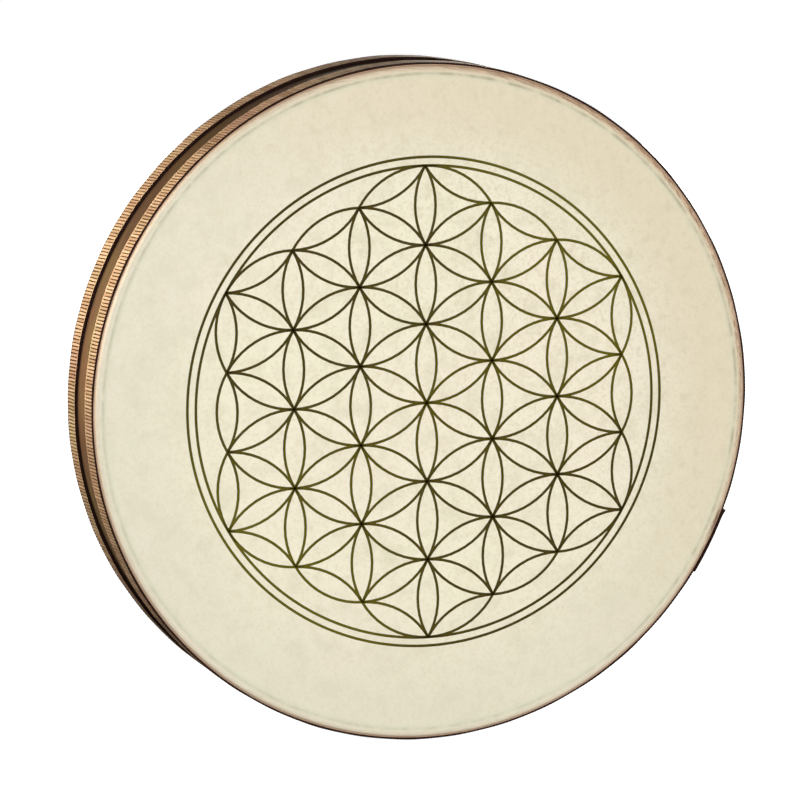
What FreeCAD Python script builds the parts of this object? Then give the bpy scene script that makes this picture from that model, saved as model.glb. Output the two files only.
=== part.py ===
import FreeCAD, Part
import math
import os
import Sketcher

# A two-headed frame drum, in millimetres, standing upright on its rim.
#
# The drum's axis lies along Y, with the front head facing -Y, and the origin is
# the middle of the drum. A bent-wood shell carries a hide at each end. Each hide
# turns down over the shell's edge and is tacked through its skirt, and a woven
# braid is glued round the rim over the skirt, the tacks and the bare wood beside
# them. The braid's end laps over its start.
#
# The pieces of one rim are built in a frame of their own: its origin is the
# centre of the head's outer face, and +Y runs inwards along the drum's axis.
# Each piece's Placement then puts it at the front or at the back.

SIZES = {
    "shell_diameter": 557.6,  # outside of the bare wood
    "shell_depth": 87.7,  # edge to edge, without the hides
    "shell_wall": 8.0,
    "edge_round": 2.5,  # the shell's outer edge, which the hide bends over
    "edge_chamfer": 2.0,  # the shell's inner edge
    "hide_thickness": 0.6,
    "skirt_length": 18.0,  # from the head's face to the hide's cut edge
    "braid_width": 25.0,
    "braid_thickness": 2.3,  # over the hide
    "braid_edge_round": 0.8,
    "braid_setback": 2.0,  # from the head's face to the braid
    "lap_start": 22.0,  # degrees round the rim
    "lap_sweep": 12.5,  # degrees
    "lap_setback": 1.0,  # from the head's face to the lapped end
    "tack_count": 36,
    "tack_line": 10.0,  # from the head's face to the tacks
    "tack_length": 7.0,  # under the head
    "tack_shank_diameter": 1.4,
    "tack_tip_length": 2.0,
    "tack_head_diameter": 5.0,
    "tack_head_height": 0.8,
    "tack_head_edge": 0.2,  # the head's thickness at its edge
    "tack_clearance": 0.1,  # between the tack's head and the braid
}
ALIAS_COLUMN = "B"
NAME_COLUMN = "A"

HORIZONTAL_AXIS = -1
VERTICAL_AXIS = -2
EDGE_START = 1
EDGE_END = 2
ARC_CENTRE = 3


class Size:
    """A size that carries its number and the sheet's expression behind it."""

    def __init__(self, value, text):
        self.value = value
        self.text = text

    @staticmethod
    def of(other):
        return other if isinstance(other, Size) else Size(other, str(other))

    def __add__(self, other):
        other = Size.of(other)
        return Size(self.value + other.value, f"({self.text} + {other.text})")

    def __sub__(self, other):
        other = Size.of(other)
        return Size(self.value - other.value, f"({self.text} - {other.text})")

    def __mul__(self, other):
        other = Size.of(other)
        return Size(self.value * other.value, f"({self.text} * {other.text})")

    def __truediv__(self, other):
        other = Size.of(other)
        return Size(self.value / other.value, f"({self.text} / {other.text})")


ZERO = Size(0.0, "0")

doc = FreeCAD.newDocument("FrameDrum")
sheet = doc.addObject("Spreadsheet::Sheet", "Sizes")
size = {}
for row, (name, number) in enumerate(SIZES.items(), start=1):
    sheet.set(f"{NAME_COLUMN}{row}", name)
    sheet.set(f"{ALIAS_COLUMN}{row}", str(number))
    sheet.setAlias(f"{ALIAS_COLUMN}{row}", name)
    size[name] = Size(number, f"{sheet.Name}.{name}")
doc.recompute()

# Radii, from the wood outwards
shell_radius = size["shell_diameter"] / 2
inner_radius = shell_radius - size["shell_wall"]
hide_radius = shell_radius + size["hide_thickness"]
braid_radius = hide_radius + size["braid_thickness"]
lap_radius = braid_radius + size["braid_thickness"]

# Places along the axis, from the head's outer face inwards
skirt_end = size["skirt_length"]
braid_end = size["braid_setback"] + size["braid_width"]

half_depth = size["shell_depth"] / 2 + size["hide_thickness"]
rims = {"front": -1, "back": 1}


def origin_feature(body, role):
    return next(f for f in body.Origin.OriginFeatures if f.Role == role)


def new_body(label):
    body = doc.addObject("PartDesign::Body", label)
    body.Label = label
    return body


def new_sketch(body, name, role):
    sketch = body.newObject("Sketcher::SketchObject", name)
    sketch.AttachmentSupport = (origin_feature(body, role), [""])
    sketch.MapMode = "FlatFace"
    return sketch


def constrain(sketch, kind, *where, by):
    """Add a dimension and bind it to the sheet."""
    index = sketch.addConstraint(Sketcher.Constraint(kind, *where, by.value))
    sketch.setExpression(f"Constraints[{index}]", by.text)


def pin_point(sketch, edge, end, across, along):
    """Fix a point of the sketch at two sizes from its origin."""
    for kind, axis, place in (
        ("DistanceX", VERTICAL_AXIS, across),
        ("DistanceY", HORIZONTAL_AXIS, along),
    ):
        if place is ZERO:
            sketch.addConstraint(Sketcher.Constraint("PointOnObject", edge, end, axis))
        else:
            constrain(sketch, kind, edge, end, by=place)


def arc_between(start, end, centre):
    """The short arc from start to end, and whether it runs anticlockwise."""
    radius = (start - centre).Length
    first = math.atan2(start.y - centre.y, start.x - centre.x)
    last = math.atan2(end.y - centre.y, end.x - centre.x)
    anticlockwise = (last - first) % math.tau < math.pi
    circle = Part.Circle(centre, FreeCAD.Vector(0, 0, 1), radius)
    low, high = (first, last) if anticlockwise else (last, first)
    return Part.ArcOfCircle(circle, low, high), anticlockwise


def draw_outline(sketch, outline):
    """Draw a closed outline of (across, along, bend) corners, tied to the sheet.

    bend is None where a straight edge leaves the corner. For an arc it holds
    the centre, across and along, and the radius.
    """
    points = [FreeCAD.Vector(x.value, y.value, 0) for x, y, bend in outline]
    ends = []
    for i, (x, y, bend) in enumerate(outline):
        start, end = points[i], points[(i + 1) % len(points)]
        if bend is None:
            sketch.addGeometry(Part.LineSegment(start, end))
            ends.append((EDGE_START, EDGE_END))
        else:
            centre = FreeCAD.Vector(bend[0].value, bend[1].value, 0)
            arc, anticlockwise = arc_between(start, end, centre)
            sketch.addGeometry(arc)
            ends.append((EDGE_START, EDGE_END) if anticlockwise else (EDGE_END, EDGE_START))
    for i, (x, y, bend) in enumerate(outline):
        after = (i + 1) % len(outline)
        joint = Sketcher.Constraint("Coincident", i, ends[i][1], after, ends[after][0])
        sketch.addConstraint(joint)
        pin_point(sketch, i, ends[i][0], x, y)
        if bend is not None:
            constrain(sketch, "Radius", i, by=bend[2])


def revolve(body, name, outline):
    """Turn an outline in the XY plane once round the Y axis."""
    sketch = new_sketch(body, f"{name}_section", "XY_Plane")
    draw_outline(sketch, outline)
    turned = body.newObject("PartDesign::Revolution", name)
    turned.Profile = sketch
    turned.ReferenceAxis = (sketch, ["V_Axis"])
    turned.Angle = 360
    return sketch, turned


def repeat_round(body, name, feature):
    """Repeat a feature at each tack, round the Y axis."""
    pattern = body.newObject("PartDesign::PolarPattern", name)
    pattern.Originals = [feature]
    pattern.Axis = (origin_feature(body, "Y_Axis"), [""])
    pattern.Angle = 360
    pattern.setExpression("Occurrences", size["tack_count"].text)
    body.Tip = pattern
    doc.recompute()


def cut_round_holes(body, name, outside, depth, hole_radius, places):
    """Cut radial holes inwards from the radius outside, one ring at each place."""
    doc.recompute()
    whole = body.Shape.Volume
    sketch = new_sketch(body, f"{name}_circles", "YZ_Plane")
    sketch.setExpression("AttachmentOffset.Base.z", outside.text)
    for i, place in enumerate(places):
        centre = FreeCAD.Vector(place.value, 0, 0)
        sketch.addGeometry(Part.Circle(centre, FreeCAD.Vector(0, 0, 1), hole_radius.value))
        pin_point(sketch, i, ARC_CENTRE, place, ZERO)
        constrain(sketch, "Radius", i, by=hole_radius)
    pocket = body.newObject("PartDesign::Pocket", f"{name}_pocket")
    pocket.Profile = sketch
    pocket.setExpression("Length", depth.text)
    repeat_round(body, f"{name}_ring", pocket)
    if body.Shape.Volume >= whole:
        raise RuntimeError(f"{body.Label}: {name} cut nothing")


def place_on_rim(body, rim):
    """Put a piece built in the rim's frame at the front or the back."""
    if rim == "back":
        turn = FreeCAD.Rotation(FreeCAD.Vector(1, 0, 0), 180)
        body.Placement = FreeCAD.Placement(FreeCAD.Vector(), turn)
    body.setExpression("Placement.Base.y", (half_depth * rims[rim]).text)


def build_shell():
    """The hoop: edges rounded outside, chamfered inside, and drilled by the tacks."""
    body = new_body("shell")
    depth = size["shell_depth"]
    bend = size["edge_round"]
    chamfer = size["edge_chamfer"]
    bend_centre = shell_radius - bend
    revolve(body, "hoop", [
        (inner_radius + chamfer, ZERO, None),
        (bend_centre, ZERO, (bend_centre, bend, bend)),
        (shell_radius, bend, None),
        (shell_radius, depth - bend, (bend_centre, depth - bend, bend)),
        (bend_centre, depth, None),
        (inner_radius + chamfer, depth, None),
        (inner_radius, depth - chamfer, None),
        (inner_radius, chamfer, None),
    ])
    line = size["tack_line"] - size["hide_thickness"]
    cut_round_holes(
        body,
        "tack_hole",
        outside=hide_radius,
        depth=size["tack_length"],
        hole_radius=size["tack_shank_diameter"] / 2,
        places=[line, depth - line],
    )
    body.setExpression("Placement.Base.y", (depth * -0.5).text)
    return body


def build_head(rim):
    """The hide: a disc that bends over the shell's edge into a skirt."""
    body = new_body(f"{rim}_head")
    thickness = size["hide_thickness"]
    inner_bend = size["edge_round"]
    outer_bend = inner_bend + thickness
    bend_centre = shell_radius - inner_bend
    revolve(body, "hide", [
        (ZERO, ZERO, None),
        (bend_centre, ZERO, (bend_centre, outer_bend, outer_bend)),
        (hide_radius, outer_bend, None),
        (hide_radius, skirt_end, None),
        (shell_radius, skirt_end, None),
        (shell_radius, outer_bend, (bend_centre, outer_bend, inner_bend)),
        (bend_centre, thickness, None),
        (ZERO, thickness, None),
    ])
    cut_round_holes(
        body,
        "tack_hole",
        outside=hide_radius,
        depth=size["tack_length"],
        hole_radius=size["tack_shank_diameter"] / 2,
        places=[size["tack_line"]],
    )
    place_on_rim(body, rim)
    return body


def strip_outline(setback, high):
    """The braid's section: level outside, and down to the wood past the skirt's cut edge."""
    edge = size["braid_edge_round"]
    return [
        (hide_radius, setback, None),
        (high - edge, setback, (high - edge, setback + edge, edge)),
        (high, setback + edge, None),
        (high, braid_end - edge, (high - edge, braid_end - edge, edge)),
        (high - edge, braid_end, None),
        (shell_radius, braid_end, None),
        (shell_radius, skirt_end, None),
        (hide_radius, skirt_end, None),
    ]


def build_braid(rim):
    """The woven strip, its lapped end, and a dimple over each tack's head."""
    body = new_body(f"{rim}_braid")
    revolve(body, "strip", strip_outline(size["braid_setback"], braid_radius))
    sketch, lap = revolve(body, "lap", strip_outline(size["lap_setback"], lap_radius))
    sketch.AttachmentOffset = FreeCAD.Placement(
        FreeCAD.Vector(), FreeCAD.Rotation(FreeCAD.Vector(0, 1, 0), size["lap_start"].value)
    )
    sketch.setExpression("AttachmentOffset.Rotation.Angle", size["lap_start"].text)
    lap.setExpression("Angle", size["lap_sweep"].text)
    dimple = size["tack_head_height"] + size["tack_clearance"]
    cut_round_holes(
        body,
        "dimple",
        outside=hide_radius + dimple,
        depth=dimple + size["hide_thickness"],
        hole_radius=size["tack_head_diameter"] / 2 + size["tack_clearance"],
        places=[size["tack_line"]],
    )
    place_on_rim(body, rim)
    return body


def build_tacks(rim):
    """Domed tacks, driven through the hide's skirt into the shell."""
    body = new_body(f"{rim}_tacks")
    body.AllowCompound = True
    line = size["tack_line"]
    head = size["tack_head_diameter"] / 2
    shank = size["tack_shank_diameter"] / 2
    top = hide_radius + size["tack_head_height"]
    edge = hide_radius + size["tack_head_edge"]
    rise = size["tack_head_height"] - size["tack_head_edge"]
    dome = (head * head + rise * rise) / (rise * 2)
    tip = hide_radius - size["tack_length"]
    sketch = new_sketch(body, "tack_section", "XY_Plane")
    draw_outline(sketch, [
        (tip, line, None),
        (top, line, (top - dome, line, dome)),
        (edge, line + head, None),
        (hide_radius, line + head, None),
        (hide_radius, line + shank, None),
        (tip + size["tack_tip_length"], line + shank, None),
    ])
    tack = body.newObject("PartDesign::Revolution", "tack")
    tack.Profile = sketch
    tack.ReferenceAxis = (sketch, ["Edge1"])
    tack.Angle = 360
    repeat_round(body, "tacks", tack)
    place_on_rim(body, rim)
    return body


parts = [build_shell()]
for rim in rims:
    parts += [build_head(rim), build_braid(rim), build_tacks(rim)]
doc.recompute()

for item in doc.Objects:
    if {"Invalid", "Error"} & set(item.State):
        raise RuntimeError(f"{item.Label} is {item.State}")
for body in parts:
    if body.Shape.isNull() or not body.Shape.isValid():
        raise RuntimeError(f"{body.Label} has no valid shape")

os.makedirs("parts", exist_ok=True)
for body in parts:
    body.Shape.exportStep(f"parts/{body.Label}.step")
    box = body.Shape.BoundBox
    print(
        f"{body.Label}: {len(body.Shape.Solids)} solid(s), {body.Shape.Volume / 1000:.1f} cm3,"
        f" X {box.XMin:.1f} to {box.XMax:.1f}, Y {box.YMin:.1f} to {box.YMax:.1f},"
        f" Z {box.ZMin:.1f} to {box.ZMax:.1f}"
    )
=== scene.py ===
# %% [markdown]
# # A frame drum, from its hoop to its print
#
# The drum is a shallow hoop of bent wood with a hide stretched over each side. A
# woven braid covers the hide's edge on each rim, and the front hide carries a
# printed rosette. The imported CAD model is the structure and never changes. Here
# it is loaded as a frame, and the looks are built around it, piece by piece.

# %% Load the frame
import math
import random

import bmesh
import bpy
from mathutils import Matrix, Vector


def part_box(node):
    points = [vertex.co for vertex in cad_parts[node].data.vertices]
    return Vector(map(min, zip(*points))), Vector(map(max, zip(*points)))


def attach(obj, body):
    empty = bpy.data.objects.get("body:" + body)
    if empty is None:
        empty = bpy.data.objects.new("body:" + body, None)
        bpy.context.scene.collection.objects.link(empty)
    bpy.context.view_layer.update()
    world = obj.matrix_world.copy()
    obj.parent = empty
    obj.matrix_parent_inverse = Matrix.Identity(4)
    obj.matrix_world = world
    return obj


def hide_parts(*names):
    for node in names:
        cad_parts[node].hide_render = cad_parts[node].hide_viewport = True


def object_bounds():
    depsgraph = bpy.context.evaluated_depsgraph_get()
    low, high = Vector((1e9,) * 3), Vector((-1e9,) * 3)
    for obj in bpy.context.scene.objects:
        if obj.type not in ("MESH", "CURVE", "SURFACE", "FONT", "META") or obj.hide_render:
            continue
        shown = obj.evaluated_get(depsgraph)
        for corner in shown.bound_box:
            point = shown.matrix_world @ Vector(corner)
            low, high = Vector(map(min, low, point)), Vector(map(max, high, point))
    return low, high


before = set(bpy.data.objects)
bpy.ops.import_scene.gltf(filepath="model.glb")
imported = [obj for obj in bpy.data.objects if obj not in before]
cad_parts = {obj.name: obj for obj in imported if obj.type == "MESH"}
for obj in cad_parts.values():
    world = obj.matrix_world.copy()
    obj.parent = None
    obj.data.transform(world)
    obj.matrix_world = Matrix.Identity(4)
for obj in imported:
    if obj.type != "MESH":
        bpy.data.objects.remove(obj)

MM = 0.001
cad_low, cad_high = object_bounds()

# %% [markdown]
# ## Sizes come from the frame
#
# The drum's axis is Y, and its front head faces -Y. So a radius is how far a
# piece reaches along X, and a depth is measured inwards from a head's face. The
# boxes of the CAD pieces give both. A meshed circle's box can be a hair short, so
# radii are rounded to a tenth of a millimetre.

# %% Read the radii and the depths
RADIUS_DIGITS = 4
DEPTH_DIGITS = 5


def radius_of(node):
    """How far a node reaches along X, to a tenth of a millimetre."""
    return round(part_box(node)[1].x, RADIUS_DIGITS)


shell_radius = radius_of("shell")
head_radius = radius_of("front_head")
braid_radius = radius_of("front_braid")
half_depth = round(-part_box("front_head")[0].y, DEPTH_DIGITS)
skirt_end = half_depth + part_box("front_head")[1].y
braid_end = half_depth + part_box("front_braid")[1].y
lap_front = half_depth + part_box("front_braid")[0].y
hide_thickness = head_radius - shell_radius
braid_thickness = braid_radius - head_radius
print(f"radii: shell {shell_radius / MM:.1f}, hide {head_radius / MM:.1f}, braid {braid_radius / MM:.1f} mm")
print(f"depths: skirt {skirt_end / MM:.1f}, braid {braid_end / MM:.1f}, drum {2 * half_depth / MM:.1f} mm")

# %% [markdown]
# ## Helpers for modelling by hand
#
# Blender's operators act on whatever is selected, and the frame arrives selected,
# so each piece starts from a clean selection. A finished piece keeps its place in
# its mesh, which is why a turned copy has its turn applied.

# %% Start, finish and copy a piece
MERGE = 0.001 * MM
SMOOTH_UNDER = math.radians(40)


def fresh():
    """Select nothing."""
    bpy.ops.object.select_all(action="DESELECT")


def only(piece):
    """Select one piece and make it active."""
    fresh()
    piece.select_set(True)
    bpy.context.view_layer.objects.active = piece


def editing(name):
    """Name the new primitive and its mesh, and open it for editing."""
    piece = bpy.context.object
    piece.name = piece.data.name = name
    bpy.ops.object.transform_apply(location=True, rotation=True, scale=True)
    bpy.ops.object.mode_set(mode="EDIT")
    bpy.ops.mesh.select_mode(type="VERT")
    return piece


def closed_up():
    """Merge doubled vertices, turn every face outwards and leave edit mode."""
    bpy.ops.mesh.select_all(action="SELECT")
    bpy.ops.mesh.remove_doubles(threshold=MERGE)
    bpy.ops.mesh.normals_make_consistent(inside=False)
    bpy.ops.object.mode_set(mode="OBJECT")
    bpy.ops.object.shade_smooth_by_angle(angle=SMOOTH_UNDER)


def copied(piece, name, turn=Matrix.Identity(4)):
    """A copy with a mesh of its own, turned into place."""
    only(piece)
    bpy.ops.object.duplicate()
    copy = bpy.context.object
    copy.name = copy.data.name = name
    copy.matrix_world = turn @ copy.matrix_world
    bpy.ops.object.transform_apply(location=True, rotation=True, scale=True)
    return copy


def joined(pieces, name):
    """Several pieces made one mesh."""
    only(pieces[0])
    for piece in pieces:
        piece.select_set(True)
    if len(pieces) > 1:
        bpy.ops.object.join()
    whole = bpy.context.object
    whole.name = whole.data.name = name
    return whole


def tell(piece):
    """Print how many faces a piece has, and its box."""
    corners = [Vector(corner) / MM for corner in piece.bound_box]
    low = [round(min(c[i] for c in corners), 1) for i in range(3)]
    high = [round(max(c[i] for c in corners), 1) for i in range(3)]
    print(f"{piece.name}: {len(piece.data.polygons)} faces, {low} to {high} mm")


print(f"vertices within {MERGE / MM:.3f} mm of each other merge")
print(f"bends of less than {math.degrees(SMOOTH_UNDER):.0f} degrees are shaded smooth")

# %% [markdown]
# A hoop, a hide and a tape are all turned shapes. Their outline is drawn like a
# pencil line: a plane is merged to one vertex, which is extruded from point to
# point. The line is then spun round the drum's axis. Points are given as a radius
# and a depth, so they read like the drum's own drawing.

# %% Draw an outline and spin it
def drawn(name, points):
    """A line of edges through (radius, depth) points of the front rim."""
    places = [Vector((radius, depth - half_depth, 0)) for radius, depth in points]
    fresh()
    bpy.ops.mesh.primitive_plane_add(size=MM, location=places[0])
    piece = editing(name)
    bpy.ops.mesh.merge(type="CENTER")
    for start, end in zip(places, places[1:]):
        bpy.ops.mesh.extrude_region_move(TRANSFORM_OT_translate={"value": end - start})
    return piece


def spun(name, points, steps, sweep=math.tau, closed=True):
    """The outline turned round the drum's axis, from +X towards -Z."""
    piece = drawn(name, points + points[:1] if closed else points)
    bpy.ops.mesh.select_all(action="SELECT")
    bpy.ops.mesh.spin(steps=steps, angle=-sweep, center=(0, 0, 0), axis=(0, 1, 0))
    bpy.ops.mesh.select_all(action="SELECT")
    bpy.ops.mesh.remove_doubles(threshold=MERGE)
    if closed and sweep < math.tau:
        bpy.ops.mesh.select_all(action="SELECT")
        bpy.ops.mesh.fill_holes(sides=0)
    closed_up()
    return piece


def arc(centre, radius, start, end, steps):
    """Points on an arc about a (radius, depth) centre, by angle in degrees."""
    angles = [math.radians(start + (end - start) * i / steps) for i in range(steps + 1)]
    return [(centre[0] + radius * math.cos(a), centre[1] + radius * math.sin(a)) for a in angles]


quarter = arc((0, 0), 1, 0, 90, 2)
print("a quarter circle in two steps:", [(round(r, 2), round(depth, 2)) for r, depth in quarter])

# %% [markdown]
# ## The camera
#
# A drum is best drawn from a long way off with a long lens, so that its circle
# stays a clean ellipse. The camera stands to the left and a little above, and is
# rolled by less than half a degree, as a camera levelled by hand is.

# %% Set the camera
VIEW_AZIMUTH = math.radians(-16.66)
VIEW_ELEVATION = math.radians(8.14)
VIEW_ROLL = math.radians(-0.405)
VIEW_DISTANCE = 4.261
VIEW_LENS = 233.15
SENSOR = 36
FAR_CLIP = 200
view_aim = Vector((-21.5 * MM, -half_depth, 4.3 * MM))

towards_camera = Vector((
    math.sin(VIEW_AZIMUTH) * math.cos(VIEW_ELEVATION),
    -math.cos(VIEW_AZIMUTH) * math.cos(VIEW_ELEVATION),
    math.sin(VIEW_ELEVATION),
))
fresh()
bpy.ops.object.camera_add(location=view_aim + towards_camera * VIEW_DISTANCE)
camera = bpy.context.object
level = towards_camera.to_track_quat("Z", "Y").to_matrix().to_4x4()
camera.rotation_euler = (level @ Matrix.Rotation(VIEW_ROLL, 4, "Z")).to_euler()
camera.data.lens = VIEW_LENS
camera.data.sensor_width = SENSOR
camera.data.clip_end = FAR_CLIP
bpy.context.scene.camera = camera
print("camera at", [round(v, 3) for v in camera.location])

# %% [markdown]
# ## The shell
#
# The shell is a plank of wood, steamed, bent and glued into a hoop. Only a band
# of it shows, between the braids. The CAD hoop would do, but its flat facets show
# under a light that rakes along the wall. So the same outline is spun in finer
# steps: rounded outside, where the hides bend over it, and chamfered inside.

# %% Spin the hoop
WALL = 8 * MM
EDGE_ROUND = 2.5 * MM
CHAMFER = 2 * MM
ROUND_STEPS = 4
TURN_STEPS = 360

inner_radius = shell_radius - WALL
round_centre = shell_radius - EDGE_ROUND
hoop_front = hide_thickness
hoop_back = 2 * half_depth - hide_thickness
hoop_outline = [
    (inner_radius, hoop_front + CHAMFER),
    (inner_radius + CHAMFER, hoop_front),
    *arc((round_centre, hoop_front + EDGE_ROUND), EDGE_ROUND, -90, 0, ROUND_STEPS),
    *arc((round_centre, hoop_back - EDGE_ROUND), EDGE_ROUND, 0, 90, ROUND_STEPS),
    (inner_radius + CHAMFER, hoop_back),
    (inner_radius, hoop_back - CHAMFER),
]
hoop = spun("hoop", hoop_outline, TURN_STEPS)
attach(hoop, "root")
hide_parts("shell")
tell(hoop)

# %% [markdown]
# ## The hides
#
# A wet hide is pulled over the hoop, and shrinks tight as it dries. It is a flat
# round sheet that bends down over the wood into a skirt, and a cloth simulation
# has nothing to add to a sheet that taut. What shows that it is a hide is the low
# crease inside the rim, where it leaves the wood and sinks by a hair. One outline
# with that crease is spun, and Solidify gives it its thickness inwards.

# %% Spin the front hide
REST_RADIUS = 274.0 * MM
SINK = 0.45 * MM
SINK_WIDTH = 2.4 * MM
FLAT_RADII = [0, 60 * MM, 120 * MM, 180 * MM, 230 * MM, 262 * MM]
CREASE_REACH = 5 * MM
CREASE_STEP = 0.5 * MM
CREASE_POINTS = 11
BEND_STEPS = 7
HIDE_BEND = EDGE_ROUND + hide_thickness

bend_start = head_radius - HIDE_BEND


def face_depth(radius):
    """How deep the hide's face lies at a radius, below where it rests on the wood."""
    inside = max(REST_RADIUS - radius, 0) / SINK_WIDTH
    return SINK * (1 - math.exp(-(inside ** 2)))


crease_radii = [REST_RADIUS - CREASE_REACH + CREASE_STEP * i for i in range(CREASE_POINTS)]
face_radii = FLAT_RADII + crease_radii
hide_outline = [(radius, face_depth(radius)) for radius in face_radii]
hide_outline += arc((bend_start, HIDE_BEND), HIDE_BEND, -90, 0, BEND_STEPS)
hide_outline += [(head_radius, skirt_end)]
front_hide = spun("front_hide", hide_outline, TURN_STEPS, closed=False)
only(front_hide)
solidify = front_hide.modifiers.new("thickness", "SOLIDIFY")
solidify.thickness = hide_thickness
solidify.offset = -1
bpy.ops.object.modifier_apply(modifier=solidify.name)
tell(front_hide)

# %% Copy it to the back and measure the cut hide
HALF_TURN = Matrix.Rotation(math.pi, 4, "X")

back_hide = copied(front_hide, "back_hide", HALF_TURN)
cut_radius = bend_start + HIDE_BEND * math.pi / 2 + skirt_end - HIDE_BEND
for piece, node in ((front_hide, "front_head"), (back_hide, "back_head")):
    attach(piece, "root")
    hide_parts(node)
    2 * cut_radius
    2 * cut_radius
    math.pi * cut_radius ** 2
print(f"each hide is cut round, {2 * cut_radius / MM:.0f} mm across")

# %% [markdown]
# ## The braids
#
# Upholstery braid is a row of short cords laid across a dark backing tape. On the
# head's side each cord ends in a small knuckle. Along the other side runs one
# firm cord, the selvedge. The tape and the selvedge are spun. One short cord is
# extruded ring by ring from a circle, and spun as copies all the way round.

# %% Spin the tape and the selvedge
CORDS = 606
BRAID_FRONT = 2.0 * MM
LIP = 0.45 * MM
LIP_CORNER = 0.2 * MM
LIP_DROP = 0.1 * MM
TAPE_THICKNESS = 1.0 * MM
SELVEDGE = 2.0 * MM
SELVEDGE_FLATNESS = 0.6
STEPS_PER_CORD = 2

tape_top = head_radius + TAPE_THICKNESS


def tape_outline(front, under, floor, top):
    """The tape and the lips along its sides, after the points under it."""
    return under + [
        (top - LIP_CORNER, front),
        (top, front + LIP_CORNER),
        (top, front + LIP),
        (floor, front + LIP),
        (floor, braid_end - LIP),
        (top, braid_end - LIP),
        (top, braid_end - LIP_CORNER),
        (top - LIP_CORNER, braid_end),
    ]


def selvedge_outline(floor, top):
    """A flattened cord along the tape's inner side."""
    middle = braid_end - LIP - SELVEDGE / 2
    angles = [math.radians(a) for a in range(0, 181, 30)]
    return [
        (floor + (top - floor) * math.sin(a) ** SELVEDGE_FLATNESS, middle - SELVEDGE / 2 * math.cos(a))
        for a in angles
    ]


under_braid = [
    (shell_radius, braid_end),
    (shell_radius, skirt_end),
    (head_radius, skirt_end),
    (head_radius, BRAID_FRONT),
]
front_tape = spun(
    "front_tape",
    tape_outline(BRAID_FRONT, under_braid, tape_top, braid_radius - LIP_DROP),
    STEPS_PER_CORD * CORDS,
)
front_selvedge = spun(
    "front_selvedge", selvedge_outline(tape_top, braid_radius), STEPS_PER_CORD * CORDS
)
tell(front_tape)
tell(front_selvedge)

# %% Extrude one cord and spin its copies
CORD_SIDES = 8
CORD_HALF_HEIGHT = 1.15 * MM
CORD_HALF_WIDTH = 1.3 * MM
CORD_RINGS = [
    # along the cord, its width and its height as shares of a plain cord's
    (0.0 * MM, 0.5, 0.55),
    (0.4 * MM, 0.98, 0.98),
    (1.5 * MM, 1.08, 1.04),
    (2.9 * MM, 0.98, 0.98),
    (12.0 * MM, 1.0, 1.0),
    (braid_end - BRAID_FRONT - 2 * LIP, 0.95, 0.9),
]


def cords(name, front, top, sweep, count):
    """A row of cords across the tape, from +X through sweep."""
    centre = top - CORD_HALF_HEIGHT
    start = front + LIP - half_depth
    fresh()
    bpy.ops.mesh.primitive_circle_add(
        vertices=CORD_SIDES,
        radius=CORD_HALF_HEIGHT,
        fill_type="NGON",
        location=(centre, start, 0),
        rotation=(math.pi / 2, 0, 0),
    )
    piece = editing(name)
    bpy.ops.mesh.select_all(action="SELECT")
    along, width, height = 0.0, CORD_HALF_HEIGHT / CORD_HALF_WIDTH, 1.0
    for ring, (next_along, next_width, next_height) in enumerate(CORD_RINGS):
        if ring:
            step = (0, next_along - along, 0)
            bpy.ops.mesh.extrude_region_move(TRANSFORM_OT_translate={"value": step})
        bpy.ops.transform.resize(
            value=(next_height / height, 1, next_width / width),
            center_override=(centre, start + next_along, 0),
        )
        along, width, height = next_along, next_width, next_height
    bpy.ops.mesh.select_all(action="SELECT")
    bpy.ops.mesh.spin(
        steps=count - 1,
        dupli=True,
        angle=-sweep * (count - 1) / count,
        center=(0, 0, 0),
        axis=(0, 1, 0),
    )
    closed_up()
    return piece


front_cords = cords("front_cords", BRAID_FRONT, braid_radius, math.tau, CORDS)
tell(front_cords)

# %% [markdown]
# A machine weaves the braid evenly, but a hand lays it. It rises and falls a
# little along the rim, the cords slant and each leans its own way, and the lips
# show a bump at every cord. No operator moves hundreds of cords each by its own
# amount, so the vertices are moved in a loop, by their angle round the rim. The
# leans are random, and a fixed seed makes them the same every time.

# %% Lay the braid unevenly
RIPPLE = 0.1 * MM
LEAN = 0.45 * MM
SLANT = 1.5 * MM
WAVES = [
    # height, waves round the rim, start
    (0.12 * MM, 7, 1.3),
    (0.10 * MM, 19, 0.4),
    (0.08 * MM, 43, 2.1),
]
pitch = math.tau / CORDS


def laid(piece, seed, leaning=False):
    """Move a braid's vertices as a hand would have laid it."""
    dice = random.Random(seed)
    leans = [SLANT + dice.uniform(-LEAN, LEAN) for _ in range(CORDS)]
    middle = (BRAID_FRONT + braid_end) / 2 - half_depth
    for vertex in piece.data.vertices:
        x, y, z = vertex.co
        angle = math.atan2(z, x)
        radius = math.hypot(x, z)
        share = min(max((radius - head_radius) / braid_thickness, 0), 1)
        rise = sum(height * math.sin(count * angle + start) for height, count, start in WAVES)
        if leaning:
            lean = leans[round(angle / pitch) % CORDS]
            angle += lean * (y - middle) / (braid_end - BRAID_FRONT) / radius
        else:
            rise += RIPPLE * math.cos(CORDS * angle)
        radius += share * rise
        vertex.co = (radius * math.cos(angle), y, radius * math.sin(angle))


laid(front_tape, seed=1)
laid(front_selvedge, seed=2)
laid(front_cords, seed=3, leaning=True)
print("braid waves by up to", round(sum(height for height, _, _ in WAVES) / MM, 2), "mm")

# %% [markdown]
# The braid is one strip, and its end laps over its start. The lap is a second
# layer of the same tape, cords and selvedge over about an eighth of a right
# angle. It is made at +X, pressed down there and turned to its place later. Its
# cut end frays into a few stiff fibres. One fibre is a cone drawn out to a point,
# and its copies get seeded turns.

# %% Add the lap
LAP_START = math.radians(21.4)
LAP_SWEEP = math.radians(11.7)
LAP_REST = 0.35
TIP_SHARE = 0.05
FOOT_RISE = 0.1
FOOT_POWER = 6

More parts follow.
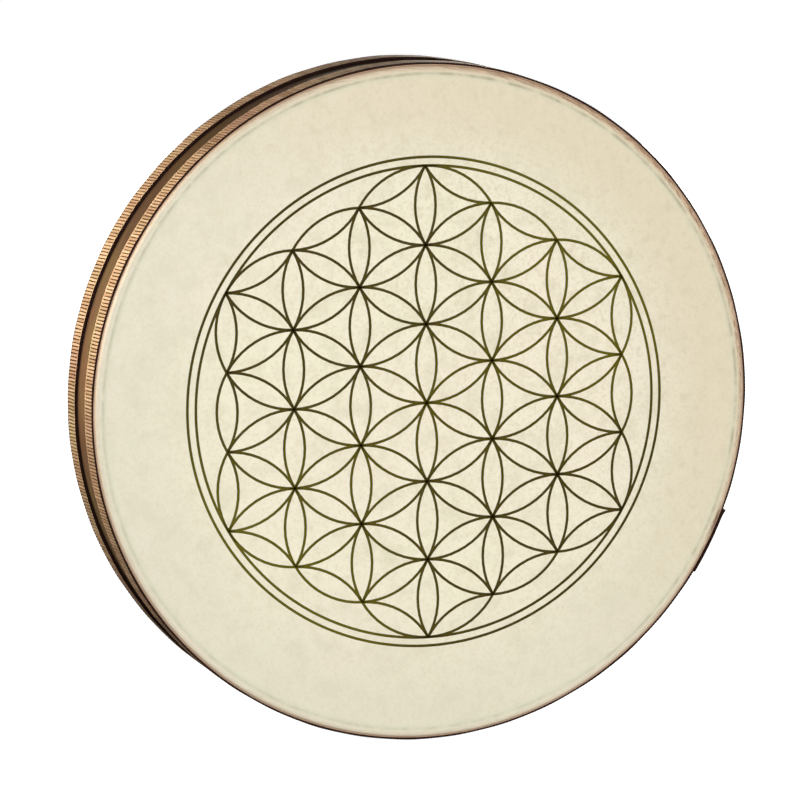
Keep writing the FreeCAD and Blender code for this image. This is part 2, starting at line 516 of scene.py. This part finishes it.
lap_cords = round(CORDS * LAP_SWEEP / math.tau)
lap_radius = braid_radius + braid_thickness
lap_bottom = braid_radius - CORD_HALF_HEIGHT
lap_top = lap_radius - CORD_HALF_HEIGHT
lap_tape = spun(
    "lap_tape",
    tape_outline(
        lap_front, [(lap_bottom, braid_end), (lap_bottom, lap_front)], lap_top, lap_radius - LIP_DROP
    ),
    STEPS_PER_CORD * lap_cords,
    LAP_SWEEP,
)
lap_selvedge = spun(
    "lap_selvedge",
    selvedge_outline(lap_top, lap_radius),
    STEPS_PER_CORD * lap_cords,
    LAP_SWEEP,
)
lap_row = cords("lap_row", lap_front, lap_radius, LAP_SWEEP, lap_cords)
laid(lap_row, seed=4, leaning=True)


def pressed_down(piece):
    """Press the lap flat, but for its loose end and a slight rise at its foot."""
    for vertex in piece.data.vertices:
        radius = math.hypot(vertex.co.x, vertex.co.z)
        share = min(max(math.atan2(-vertex.co.z, vertex.co.x) / LAP_SWEEP, 0), 1)
        proud = max(radius - braid_radius, 0)
        loose = (1 - LAP_REST) * math.exp(-share / TIP_SHARE)
        kept = LAP_REST + loose + FOOT_RISE * share ** FOOT_POWER
        shrink = 1 - (1 - kept) * proud / radius
        vertex.co.x *= shrink
        vertex.co.z *= shrink


for piece in (lap_tape, lap_selvedge, lap_row):
    pressed_down(piece)
    tell(piece)

# %% Draw out one fibre of the frayed end
FIBRE_LENGTH = 4.5 * MM
FIBRE_RADIUS = 0.22 * MM
FIBRE_SIDES = 5
FIBRE_TAPER = 0.6
FIBRE_BEND = FIBRE_RADIUS * 2
FIBRE_POINT = 0.15
FACES_UP = 0.9

fresh()
bpy.ops.mesh.primitive_cone_add(
    vertices=FIBRE_SIDES,
    radius1=FIBRE_RADIUS,
    radius2=FIBRE_RADIUS * FIBRE_TAPER,
    depth=FIBRE_LENGTH / 2,
    location=(0, 0, FIBRE_LENGTH / 4),
)
fibre = editing("fibre")
mesh = bmesh.from_edit_mesh(fibre.data)
bpy.ops.mesh.select_mode(type="FACE")
bpy.ops.mesh.select_all(action="DESELECT")
for face in mesh.faces:
    face.select_set(face.normal.z > FACES_UP)
bmesh.update_edit_mesh(fibre.data)
bpy.ops.mesh.extrude_region_move(
    TRANSFORM_OT_translate={"value": (FIBRE_BEND, 0, FIBRE_LENGTH / 2)}
)
bpy.ops.transform.resize(
    value=(FIBRE_POINT, FIBRE_POINT, 1), center_override=(FIBRE_BEND, 0, FIBRE_LENGTH)
)
closed_up()
tell(fibre)

# %% Scatter its copies over the cut end
FIBRES = 26
FRAY_SEED = 11
FRAY_BELOW = 0.5 * MM
FRAY_ABOVE = 0.3 * MM
LIFT = (-0.5, 0.7)
SWAY = (-0.4, 0.4)
LENGTHS = (0.4, 1.0)

dice = random.Random(FRAY_SEED)
fibres = []
for _ in range(FIBRES):
    place = Vector((
        dice.uniform(braid_radius - FRAY_BELOW, lap_radius - FRAY_ABOVE),
        dice.uniform(lap_front, braid_end) - half_depth,
        0,
    ))
    turn = (
        Matrix.Translation(place)
        @ Matrix.Rotation(dice.uniform(*LIFT), 4, "Y")
        @ Matrix.Rotation(dice.uniform(*SWAY), 4, "X")
        @ Matrix.Rotation(dice.uniform(0, math.tau), 4, "Z")
        @ Matrix.Scale(dice.uniform(*LENGTHS), 4)
    )
    fibres.append(copied(fibre, "fray", turn))
lap_fray = joined(fibres, "lap_fray")
bpy.data.objects.remove(fibre)
tell(lap_fray)

# %% Join the lap to the braid and copy all to the back rim
lap_turn = Matrix.Rotation(LAP_START, 4, "Y")
front_parts = {
    "front_cords": [front_cords, copied(lap_row, "lap", lap_turn)],
    "front_selvedge": [front_selvedge, copied(lap_selvedge, "lap", lap_turn)],
    "front_tape": [front_tape, copied(lap_tape, "lap", lap_turn), copied(lap_fray, "lap", lap_turn)],
}
for piece in (lap_row, lap_selvedge, lap_tape, lap_fray):
    bpy.data.objects.remove(piece)
front_braid = [joined(parts, name) for name, parts in front_parts.items()]
back_braid = [
    copied(piece, piece.name.replace("front", "back"), HALF_TURN) for piece in front_braid
]
for pieces, node in ((front_braid, "front_braid"), (back_braid, "back_braid")):
    for piece in pieces:
        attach(piece, "root")
        tell(piece)
    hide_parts(node)

# %% [markdown]
# ## The print
#
# The front head carries a very old figure: circles of one size whose centres lie
# on a triangular grid, so that neighbours cross in petals, with two rings round
# it all. The line is a low ridge of ink on the hide. An image can't be used and a
# shader's line would have no thickness, so one arc, a sixth of a circle, is spun
# as a thin ridge, and its copies make every petal.

# %% Spin one arc of ink
INK_UNIT = 65.4 * MM
INK_WIDTH = 2.3 * MM
INK_HEIGHT = 0.12 * MM
INK_SINK = 0.1 * MM
INK_EDGE = 0.03 * MM
CROWN = 0.45
ARC_STEPS = 10
INK_CENTRE = Vector((1.5 * MM, 0, 0.8 * MM))


def ink_line(name, radius, sweep, steps):
    """A ridge of ink along part of a circle about the drum's axis."""
    half = INK_WIDTH / 2
    outline = [
        (radius - half, SINK + INK_SINK),
        (radius - half, SINK - INK_EDGE),
        (radius - CROWN * half, SINK - INK_HEIGHT),
        (radius + CROWN * half, SINK - INK_HEIGHT),
        (radius + half, SINK - INK_EDGE),
        (radius + half, SINK + INK_SINK),
    ]
    return spun(name, outline, steps, sweep)


sixth = ink_line("sixth", INK_UNIT, math.tau / 6, ARC_STEPS)
tell(sixth)

# %% Find where the arcs go
GRID = 3
NEIGHBOURS = [(0, 1), (1, 0), (1, -1), (0, -1), (-1, 0), (-1, 1)]


def grid_point(across, up):
    """A point of the triangular grid, in circle radii. One row of it runs straight up."""
    return Vector((across * math.sqrt(3) / 2, 0, up + across / 2))


def inside(across, up):
    """Whether a grid point lies within the figure's hexagon."""
    return max(abs(across), abs(up), abs(across + up)) <= GRID


arcs = []
reach = range(-GRID - 1, GRID + 2)
for across in reach:
    for up in reach:
        for i, first in enumerate(NEIGHBOURS):
            second = NEIGHBOURS[(i + 1) % len(NEIGHBOURS)]
            if inside(across + first[0], up + first[1]) and inside(across + second[0], up + second[1]):
                start = grid_point(*first)
                turn = Matrix.Rotation(math.atan2(-start.z, start.x), 4, "Y")
                arcs.append(Matrix.Translation(grid_point(across, up) * INK_UNIT) @ turn)
print(len(arcs), "arcs join neighbours on the grid")

# %% Copy the arcs, add the rings and join them
RINGS = (3.0, 3.109)
RING_STEPS = 240

strokes = [copied(sixth, "stroke", turn) for turn in arcs]
strokes += [ink_line("ring", INK_UNIT * ring, math.tau, RING_STEPS) for ring in RINGS]
rosette = joined(strokes, "strokes")
ink = copied(rosette, "printed_rosette", Matrix.Translation(INK_CENTRE))
for piece in (sixth, rosette):
    bpy.data.objects.remove(piece)
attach(ink, "root")
tell(ink)

# %% [markdown]
# ## Shader maths as plain expressions
#
# A Wire is one output of a node. Adding or multiplying Wires adds Math nodes, so
# a mask reads like the sum it is. Every other node comes from Graph.node, which
# takes the node's type, its settings and its sockets. A Finish is the graph of
# one material, and knows a drum's own measures: radius, depth and turn. They come
# from Object coordinates, so a pattern stays on its piece.

# %% Wrap a socket so that maths reads as maths
class Wire:
    """A value that travels between nodes, with Python's operators."""

    def __init__(self, graph, socket):
        self.graph = graph
        self.socket = socket

    def math(self, operation, *others):
        """A Math node on this value and the others."""
        sockets = dict(enumerate((self, *others)))
        return self.graph.node("ShaderNodeMath", {"operation": operation}, sockets)

    def __add__(self, other):
        return self.math("ADD", other)

    def __sub__(self, other):
        return self.math("SUBTRACT", other)

    def __rsub__(self, other):
        return self * -1 + other

    def __mul__(self, other):
        return self.math("MULTIPLY", other)

    def __truediv__(self, other):
        return self.math("DIVIDE", other)

    def __pow__(self, other):
        return self.math("POWER", other)

    def __abs__(self):
        return self.math("ABSOLUTE")

    __radd__ = __add__
    __rmul__ = __mul__

    def step(self, low, high):
        """0 at low and 1 at high, smooth between, whichever is the larger."""
        if low > high:
            return 1 - self.step(high, low)
        sockets = {"Value": self, "From Min": low, "From Max": high}
        return self.graph.node("ShaderNodeMapRange", {"interpolation_type": "SMOOTHSTEP"}, sockets)

    def band(self, centre, width):
        """1 at centre, and 0 from width away on either side."""
        return abs(self - centre).step(width, 0)


print("a Wire takes +, -, *, /, **, abs, and a number on either side")

# %% Add nodes from one method
class Graph:
    """A tree of nodes."""

    def __init__(self, tree):
        self.tree = tree

    def node(self, kind, settings=None, sockets=None, out=0):
        """Add a node, its settings first and then its sockets, and give one output."""
        node = self.tree.nodes.new(kind)
        for name, value in (settings or {}).items():
            setattr(node, name, value)
        for name, value in (sockets or {}).items():
            self.feed(node.inputs[name], value)
        return Wire(self, node.outputs[out])

    def feed(self, socket, value):
        """Link a Wire to a socket, or set the socket's own value."""
        if isinstance(value, Wire):
            self.tree.links.new(value.socket, socket)
        else:
            socket.default_value = value

    def mix(self, factor, first, second):
        """A colour between two others."""
        return self.node("ShaderNodeMix", {"data_type": "RGBA"}, {0: factor, 6: first, 7: second}, out=2)


print("a Graph adds a node of any type, and mixes colours")

# %% Give a material the drum's own measures
class Finish(Graph):
    """One material."""

    def __init__(self, name):
        self.material = bpy.data.materials.new(name)
        self.material.use_nodes = True
        super().__init__(self.material.node_tree)
        self.surface = self.tree.nodes["Principled BSDF"]
        self.place = self.node("ShaderNodeTexCoord", out="Object")
        self.x, self.y, self.z = (
            self.node("ShaderNodeSeparateXYZ", sockets={"Vector": self.place}, out=axis) for axis in "XYZ"
        )
        self.radius = (self.x * self.x + self.z * self.z) ** 0.5
        self.depth = half_depth - abs(self.y)
        self.turn = self.z.math("ARCTAN2", self.x)

    def set(self, **sockets):
        """Feed the surface's sockets. An underscore stands for a space in a socket's name."""
        for name, value in sockets.items():
            self.feed(self.surface.inputs[name.replace("_", " ")], value)

    def noise(self, scale, detail=2.0, roughness=0.5, at=None):
        """Soft random clouds from 0 to 1, with scale clouds to the metre."""
        sockets = {"Vector": at or self.place, "Scale": scale, "Detail": detail, "Roughness": roughness}
        return self.node("ShaderNodeTexNoise", sockets=sockets)

    def along_rim(self, radial, axial):
        """Coordinates for streaks that run round the rim. The shares stretch them across it."""
        sockets = {
            "X": self.x / self.radius * head_radius + self.radius * radial,
            "Y": self.y * axial,
            "Z": self.z / self.radius * head_radius,
        }
        return self.node("ShaderNodeCombineXYZ", sockets=sockets)

    def bump(self, height, distance, strength=1.0):
        """Tilt the surface by a height from 0 to 1 that stands for a distance in metres."""
        sockets = {"Height": height, "Distance": distance, "Strength": strength}
        self.set(Normal=self.node("ShaderNodeBump", sockets=sockets))


print(f"a Finish measures depth from the faces, {half_depth / MM:.2f} mm either side of the middle")

# %% Pick a colour and dress a piece
def srgb(red, green, blue):
    """A colour picked on a 0 to 255 scale, as linear light."""
    shares = [value / 255 for value in (red, green, blue)]
    return (*(s / 12.92 if s <= 0.04045 else ((s + 0.055) / 1.055) ** 2.4 for s in shares), 1.0)


def dress(piece, finish):
    """Give a piece one material."""
    piece.data.materials.clear()
    piece.data.materials.append(finish.material)


print("half grey as linear light:", round(srgb(128, 128, 128)[0], 3))

# %% [markdown]
# ## Stained wood
#
# The hoop's grain runs round it, because it was a plank before it was bent. So
# the streaks come from a noise that is squeezed across the rim and follows it
# round, with no seam. Stain gathers in reddish and greenish patches. Shade is
# painted over the top of the hoop, and painted shade darkens it beside the braids.

# %% Finish the hoop
GREENISH_WOOD = srgb(146, 115, 68)
REDDISH_WOOD = srgb(136, 98, 64)
DARK_GRAIN = srgb(64, 42, 24)
TOP_SHADE = srgb(58, 34, 16)
BRAID_SHADE_ON_WOOD = srgb(40, 20, 10)
SHADE_REACH = 7 * MM

wood = Finish("stained_wood")
grain = wood.noise(60, detail=4, roughness=0.6, at=wood.along_rim(radial=1, axial=14))
patches = wood.noise(14)
tone = wood.mix(patches.step(0.38, 0.62), GREENISH_WOOD, REDDISH_WOOD)
tone = wood.mix(grain.step(0.42, 0.7) * 0.55, tone, DARK_GRAIN)
# Painted shade: the wood is darker over the top of the hoop.
tone = wood.mix(wood.z.step(20 * MM, 170 * MM) * 0.6, tone, TOP_SHADE)
# Painted shade: the wood is darker within a few millimetres of each braid.
braid_shade = wood.depth.step(braid_end + SHADE_REACH, braid_end)
tone = wood.mix(braid_shade * 0.6, tone, BRAID_SHADE_ON_WOOD)
wood.set(Base_Color=tone, Roughness=grain * 0.25 + 0.4)
wood.bump(grain, distance=0.15 * MM, strength=0.6)
dress(hoop, wood)
print("dressed", hoop.name, "with", len(wood.tree.nodes), "nodes")

# %% [markdown]
# ## Drum hide
#
# Rawhide is cream, matt and cloudy, because its thickness and its fat vary. Where
# it leaves the wood, a broken grey-green band of painted shade lies in the crease,
# with a softer painted shade just inside it, and dirt darkens the crease more at
# the upper right. Outside that the skin was wet, pulled and handled, so it is tan
# and streaked along the rim, and darker towards the edge. This hide is warmer and
# dirtier at its upper right. All of it is placed by the radius, and by how far up
# and to the right a point lies.

# %% Cloud the hide and warm its upper right
CREAM = srgb(240, 234, 207)
PINKISH_CREAM = srgb(242, 232, 209)
MOTTLED_CREAM = srgb(220, 214, 186)
GREY_CREAM = srgb(218, 213, 192)
WARM_CREAM = srgb(226, 211, 180)
WARM_RIGHT = 0.75
WARM_UP = 0.66

hide = Finish("drum_hide")
warm = (hide.x * WARM_RIGHT + hide.z * WARM_UP) / head_radius
clouds = hide.noise(8, detail=3)
mottle = hide.noise(55, detail=5, roughness=0.62)
cream = hide.mix(clouds.step(0.35, 0.65), CREAM, PINKISH_CREAM)
cream = hide.mix(mottle.step(0.42, 0.72) * 0.6, cream, MOTTLED_CREAM)
cream = hide.mix(hide.radius.step(150 * MM, 260 * MM) * 0.55, cream, GREY_CREAM)
rim_warmth = hide.radius.step(190 * MM, 250 * MM) * warm.step(-0.3, 0.9)
cream = hide.mix(rim_warmth * 0.75, cream, WARM_CREAM)
print("the hide's clouds take", len(hide.tree.nodes), "nodes")

# %% Speckle the hide, and paint shade and dirt into its crease
SPECKLES = srgb(218, 207, 174)
BLOTCHES = srgb(212, 198, 168)
CREASE_SHADE_HALO = srgb(210, 211, 184)
CREASE_SHADE_AND_DIRT = srgb(160, 148, 118)
CREASE_RADIUS = 272.5 * MM
CREASE_WIDTH = 2.4 * MM
HALO_RADIUS = CREASE_RADIUS - 1 * MM
HALO_WIDTH = 4.5 * MM

dirty = warm.step(-0.5, 0.9)
speckle = hide.noise(420, detail=4, roughness=0.7)
cream = hide.mix(speckle.step(0.45, 0.68) * (0.45 + dirty * 0.3), cream, SPECKLES)
blotches = hide.noise(120, detail=3, roughness=0.6)
cream = hide.mix(blotches.step(0.5, 0.75) * (0.15 + dirty * 0.35), cream, BLOTCHES)
streaks = hide.noise(150, detail=5, roughness=0.7, at=hide.along_rim(radial=8, axial=8))
broken = hide.noise(85, detail=4, roughness=0.6)
# Painted shade: a soft grey-green band just inside the crease.
shade_halo = hide.radius.band(HALO_RADIUS, HALO_WIDTH)
cream = hide.mix(shade_halo * (0.2 + broken * 0.5), cream, CREASE_SHADE_HALO)
# Painted shade in the crease, with dirt that darkens it more at the upper right.
crease = hide.radius.band(CREASE_RADIUS, CREASE_WIDTH) * broken.step(0.22, 0.72)
cream = hide.mix(crease * (0.32 + dirty * 0.45), cream, CREASE_SHADE_AND_DIRT)
print(f"the crease runs at a radius of {CREASE_RADIUS / MM:.1f} mm")

# %% Tan the rim, stain it by the lap and dress both hides
TAN_SKIN = srgb(216, 188, 156)
DARK_SKIN = srgb(152, 114, 80)
BROWN_STREAK = srgb(96, 64, 42)
EDGE_DIRT = srgb(196, 158, 130)
LAP_STAIN = srgb(110, 66, 44)
RIDGE_RADIUS = 275.0 * MM
EDGE_WIDTH = 2.4 * MM
STAIN_TURN = math.radians(-23.5)
STAIN_SPREAD = math.radians(3.5)
STAIN_START = 275 * MM
STAIN_END = 277.5 * MM

strip = hide.radius.step(RIDGE_RADIUS - 1.5 * MM, RIDGE_RADIUS + 2 * MM)
tan = hide.mix(streaks.step(0.42, 0.58), TAN_SKIN, DARK_SKIN)
tan = hide.mix(streaks.step(0.57, 0.67) * dirty, tan, BROWN_STREAK)
handled = warm.step(0.55, 1.0)
cream = hide.mix(strip * (0.22 + dirty * 0.34 + handled * 0.4), cream, tan)
edge_dirt = hide.radius.step(head_radius - EDGE_WIDTH, head_radius)
cream = hide.mix(edge_dirt * 0.6, cream, EDGE_DIRT)
stain = hide.turn.band(STAIN_TURN, STAIN_SPREAD) * hide.radius.step(STAIN_START, STAIN_END)
stain = stain * hide.y.step(0, -half_depth) * streaks.step(0.3, 0.5)
cream = hide.mix(stain * 0.8, cream, LAP_STAIN)
hide.set(Base_Color=cream, Roughness=mottle * 0.15 + 0.55)
hide.bump(hide.noise(900, detail=3) + mottle * 2, distance=0.06 * MM, strength=0.3)
for piece in (front_hide, back_hide):
    dress(piece, hide)
print("dressed", front_hide.name, "and", back_hide.name, "with", len(hide.tree.nodes), "nodes")

# %% [markdown]
# ## Bronze ink
#
# The ink is brown, and a painted sheen of metallic ink tints it olive. The change
# is slow, from corner to corner, and the surface has hardly any shine.

# %% Finish the print
BROWN_INK = srgb(68, 56, 2)
SHEEN_INK = srgb(96, 88, 8)
INK_REACH = 0.14

bronze = Finish("bronze_ink")
# Painted sheen: an olive tint that comes and goes slowly over the print stands for the shine of metallic
# ink.
saddle = bronze.x * bronze.z / INK_REACH ** 2
sway = bronze.noise(9)
ink_sheen = (saddle * 0.5 + sway).step(0.2, 1.05)
bronze.set(
    Base_Color=bronze.mix(ink_sheen, BROWN_INK, SHEEN_INK),
    Roughness=sway * 0.2 + 0.5,
    Specular_IOR_Level=0.12,
)
bronze.bump(bronze.noise(1200), distance=0.03 * MM, strength=0.4)
dress(ink, bronze)
print("dressed", ink.name, "with", len(bronze.tree.nodes), "nodes")

# %% [markdown]
# ## Tan braid on a dark tape
#
# The cords are tan thread, a little different from one to the next, so each one's
# number is worked out from its angle and looked up in a random table. Between
# cords and down their sides a brown painted shade darkens the thread, and the
# lap's cut end is nearly black with dirt. The tape under them is as dark, and it
# shows as a line along both sides of the braid, with a little pale glue where it
# meets the hide.

# %% Mix the thread
PALE_THREAD = srgb(228, 190, 148)
TAN_THREAD = srgb(192, 150, 110)
GREENISH_THREAD = srgb(196, 184, 130)
PINKISH_THREAD = srgb(214, 160, 136)
SHADED_THREAD = srgb(104, 64, 34)
DIRTY_THREAD = srgb(34, 16, 8)
FUZZ = srgb(150, 108, 72)
LOOSE_END = math.radians(0.7)

thread = Finish("tan_thread")
height = thread.radius - head_radius
cord_number = (thread.turn / pitch).math("ROUND")
shade = thread.node("ShaderNodeTexWhiteNoise", {"noise_dimensions": "1D"}, {"W": cord_number})
drift = thread.noise(22)
tan = thread.mix(shade, PALE_THREAD, TAN_THREAD)
tan = thread.mix(drift.step(0.52, 0.7) * 0.4, tan, GREENISH_THREAD)
tan = thread.mix(drift.step(0.46, 0.3) * 0.4, tan, PINKISH_THREAD)
# Painted shade: the thread turns brown low between the cords and down their sides.
gap_shade = height.step(braid_thickness * 0.92, braid_thickness * 0.6)
tan = thread.mix(gap_shade * 0.9, tan, SHADED_THREAD)
loose_end = abs(thread.turn).band(LAP_START, LOOSE_END)
loose_end = loose_end * thread.radius.step(braid_radius + 0.3 * MM, braid_radius + 0.8 * MM)
tan = thread.mix(loose_end, tan, DIRTY_THREAD)
twist = thread.noise(1500, detail=3, roughness=0.6)
tan = thread.mix(twist.step(0.5, 0.75) * 0.3, tan, FUZZ)
thread.set(Base_Color=tan, Roughness=twist * 0.2 + 0.6)
thread.bump(twist, distance=0.12 * MM, strength=0.6)
print("the thread takes", len(thread.tree.nodes), "nodes")

# %% Mix the backing tape and dress both braids
BLACK_TAPE = srgb(12, 4, 1)
BROWN_TAPE = srgb(52, 24, 12)
GLUE = srgb(206, 172, 144)

backing = Finish("dark_tape")
weave = backing.noise(1800)
brown = backing.mix(weave.step(0.35, 0.65), BLACK_TAPE, BROWN_TAPE)
glue = backing.radius.step(head_radius + 0.6 * MM, head_radius + 0.2 * MM)
glue = glue * backing.depth.step(BRAID_FRONT + 2 * MM, BRAID_FRONT + 1 * MM)
backing.set(
    Base_Color=backing.mix(glue, brown, GLUE),
    Roughness=weave * 0.2 + 0.7,
    Specular_IOR_Level=0.15,
)
backing.bump(weave, distance=0.1 * MM, strength=0.6)
for cord_piece, selvedge_piece, tape_piece in (front_braid, back_braid):
    dress(cord_piece, thread)
    dress(selvedge_piece, thread)
    dress(tape_piece, backing)
print("dressed", ", ".join(piece.name for piece in front_braid + back_braid))

# %% [markdown]
# ## Tack steel
#
# The tacks hide under the braids and keep their CAD shape. They are plain steel,
# drawn and stamped, so their gloss varies in fine patches.

# %% Finish the tacks
BRIGHT_STEEL = srgb(150, 150, 148)
DULL_STEEL = srgb(112, 110, 106)

steel = Finish("tack_steel")
wear = steel.noise(700, detail=3)
steel.set(
    Base_Color=steel.mix(wear, BRIGHT_STEEL, DULL_STEEL),
    Roughness=wear * 0.3 + 0.25,
    Metallic=1.0,
)
for node in ("front_tacks", "back_tacks"):
    dress(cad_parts[node], steel)
print("dressed the tacks with", len(steel.tree.nodes), "nodes")

# %% [markdown]
# ## The studio
#
# A wide softbox in front lights the head evenly, and one behind lights the back.
# A small lamp close to the left of the rim rakes along the wall, so the cords
# stand out there and fade into shade above and below. A larger lamp further off
# fills the right side. The floor and the world look white to the camera, but they
# give the drum hardly any light, so that its sides keep their shade.

# %% Lay the floor
FLOOR_SIZE = 60
FLOOR_GREY = (0.2, 0.2, 0.2, 1)
WHITE = (1, 1, 1, 1)
BLACK = (0, 0, 0, 1)

fresh()
bpy.ops.mesh.primitive_plane_add(size=FLOOR_SIZE, location=(0, 0, cad_low.z))
floor = bpy.context.object
floor.name = "floor"
paper = Finish("pale_floor")
seen = paper.node("ShaderNodeLightPath", out="Is Camera Ray")
glow = paper.mix(seen, BLACK, WHITE)
paper.set(Base_Color=FLOOR_GREY, Roughness=0.9, Emission_Color=glow, Emission_Strength=1.0)
dress(floor, paper)
print("the floor lies at", round(cad_low.z / MM, 1), "mm")

# %% Light the drum
DRUM_CENTRE = (0, 0, 0)
UPPER_LEFT = (-0.26, 0, 0.11)
RIGHT_SIDE = (0.28, 0, 0)
WARM_LIGHT = (1.0, 0.96, 0.88)
WORLD_LIGHT = 0.04


def area_light(name, place, target, size, power, colour=(1, 1, 1)):
    """A soft square lamp that faces its target and stays out of sight itself."""
    fresh()
    bpy.ops.object.light_add(type="AREA", location=place)
    lamp = bpy.context.object
    lamp.name = name
    lamp.data.size = size
    lamp.data.energy = power
    lamp.data.color = colour
    lamp.rotation_euler = (Vector(place) - Vector(target)).to_track_quat("Z", "Y").to_euler()
    lamp.visible_camera = False
    return lamp


lamps = [
    area_light("front_softbox", (-0.2, -5.0, 0.1), DRUM_CENTRE, size=2.5, power=362),
    area_light("back_softbox", (2.2, 4.6, 0.8), DRUM_CENTRE, size=2.5, power=260),
    area_light("left_lamp", (-0.56, 0.0, 0.24), UPPER_LEFT, size=0.2, power=1.85, colour=WARM_LIGHT),
    area_light("right_lamp", (1.6, 0.6, 0.15), RIGHT_SIDE, size=1.2, power=28),
]

world = bpy.data.worlds.new("studio")
bpy.context.scene.world = world
world.use_nodes = True
sky = Graph(world.node_tree)
seen = sky.node("ShaderNodeLightPath", out="Is Camera Ray")
background = world.node_tree.nodes["Background"]
sky.feed(background.inputs["Color"], WHITE)
sky.feed(background.inputs["Strength"], seen * (1 - WORLD_LIGHT) + WORLD_LIGHT)
bpy.context.scene.view_settings.view_transform = "Standard"
print("lit by", ", ".join(lamp.name for lamp in lamps))
